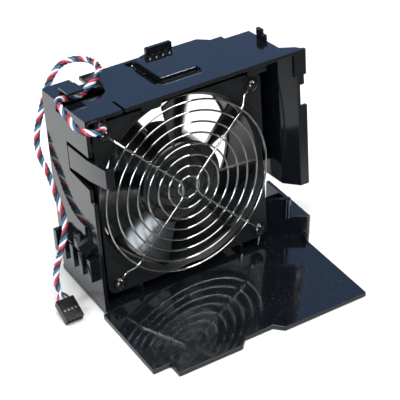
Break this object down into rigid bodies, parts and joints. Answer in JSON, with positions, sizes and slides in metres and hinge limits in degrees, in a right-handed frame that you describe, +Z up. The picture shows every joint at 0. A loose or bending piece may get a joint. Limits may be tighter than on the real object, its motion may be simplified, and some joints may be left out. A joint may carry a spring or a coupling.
{
  "type": "shrouded fan assembly",
  "caption": "Axial cooling fan with a wire finger guard, leaning back in a moulded shroud with an apron floor, snap latches and a twisted lead with a plug.",
  "frame": {"origin": "underside of the apron floor, straight below the centre of the fan's front face", "axes": "+X to the right seen from the guard side, +Y back through the fan, +Z up from the floor; the fan leans back by 6.5 degrees"},
  "size_m": [0.1837, 0.16, 0.1404],
  "materials": {
    "shroud_plastic": "gloss",
    "fan_plastic": "satin",
    "impeller_plastic": "gloss",
    "guard_wire": "polished",
    "rivet_nylon": "satin",
    "grommet_rubber": "matte",
    "lead_insulation": "satin",
    "plug_nylon": "satin",
    "terminal_metal": "tinned",
    "yoke_steel": "zinc plated",
    "magnet_ferrite": "matte",
    "shaft_steel": "ground",
    "bearing_steel": "polished",
    "tube_brass": "turned",
    "core_steel": "laminated",
    "bobbin_plastic": "matte",
    "coil_copper": "enamelled",
    "board_laminate": "satin"
  },
  "bodies": {
    "housing": {"shroud": "shroud_plastic", "apron": "shroud_plastic", "fan_frame": "fan_plastic", "bearing_tube": "tube_brass", "front_bearing": "bearing_steel", "rear_bearing": "bearing_steel", "stator_core": "core_steel", "front_bobbin": "bobbin_plastic", "rear_bobbin": "bobbin_plastic", "coil_windings": "coil_copper", "circuit_board": "board_laminate", "guard_rings": "guard_wire", "guard_spoke_left": "guard_wire", "guard_spoke_right": "guard_wire", "guard_rivets": "rivet_nylon", "lead_grommet": "grommet_rubber", "cable": "lead_insulation", "plug_housing": "plug_nylon", "plug_terminals": "terminal_metal"},
    "rotor": {"impeller": "impeller_plastic", "rotor_yoke": "yoke_steel", "ring_magnet": "magnet_ferrite", "rotor_shaft": "shaft_steel", "shaft_clip": "shaft_steel", "preload_spring": "shaft_steel"},
    "thumb_latch": {"top_latch": "shroud_plastic"},
    "finger_latch": {"side_latch": "shroud_plastic"}
  },
  "joints": [
    {"name": "fan_spin", "type": "hinge", "parent": "housing", "child": "rotor", "pos_m": [0, 0, 0.06872], "axis": [0, 0.9936, -0.1132], "continuous": true},
    {"name": "top_latch_flex", "type": "hinge", "parent": "housing", "child": "thumb_latch", "pos_m": [0.01, 0.01864, 0.13252], "axis": [-1, 0, 0], "range_deg": [0, 6], "stiffness_Nm_per_rad": 0.6},
    {"name": "side_latch_flex", "type": "hinge", "parent": "housing", "child": "finger_latch", "pos_m": [-0.06505, 0.0251, 0.09907], "axis": [0, 0.1132, 0.9936], "range_deg": [0, 6], "stiffness_Nm_per_rad": 0.6}
  ]
}
